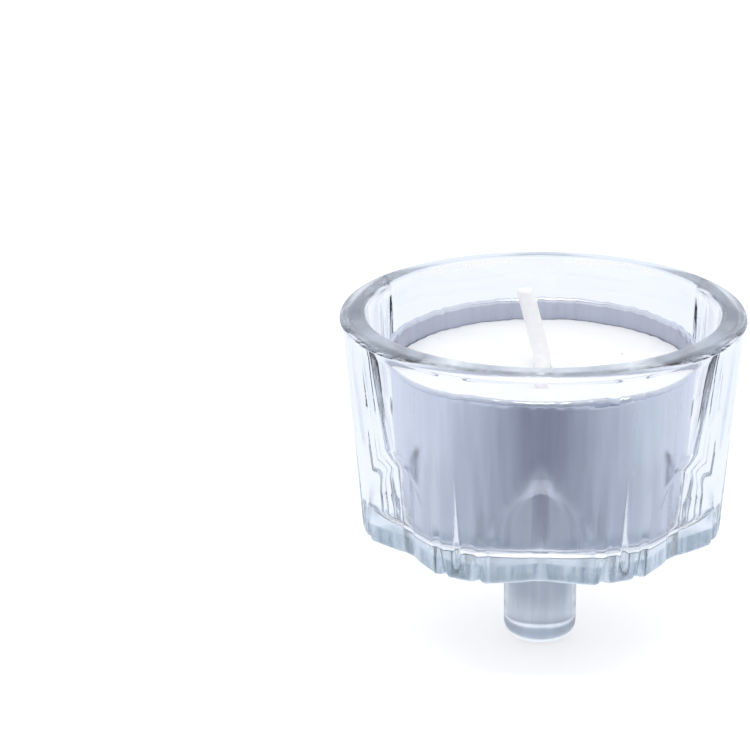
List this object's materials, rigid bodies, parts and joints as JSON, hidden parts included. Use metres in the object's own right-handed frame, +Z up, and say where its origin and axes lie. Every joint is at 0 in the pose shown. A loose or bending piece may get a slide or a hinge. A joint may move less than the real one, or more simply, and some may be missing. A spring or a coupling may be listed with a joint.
{
  "type": "tealight holder",
  "caption": "Clear pressed-glass tealight cup with flat panels and ribs, a peg below for a candlestick, and a tealight in it.",
  "frame": {"origin": "on the peg's axis, at the cup's flat underside, where the peg starts", "axes": "+Z up the cup's axis out of its mouth, -Y towards the front panel, +X to the right seen from the front"},
  "size_m": [0.0506, 0.0506, 0.0466],
  "materials": {
    "glass": "clear, fire-polished pressed glass",
    "aluminium": "drawn foil, satin",
    "wax": "white paraffin, satin",
    "steel": "tinned plate",
    "cotton": "waxed cotton braid"
  },
  "bodies": {
    "holder": {"glass_holder": "glass"},
    "tealight": {"tealight_cup": "aluminium"},
    "candle": {"candle_wax": "wax", "wick_sustainer": "steel", "wick": "cotton"}
  },
  "joints": [
    {"name": "tealight_lift", "type": "slide", "parent": "holder", "child": "tealight", "axis": [0, 0, 1], "range_m": [0, 0.04]},
    {"name": "candle_lift", "type": "slide", "parent": "tealight", "child": "candle", "axis": [0, 0, 1], "range_m": [0, 0.03]}
  ]
}
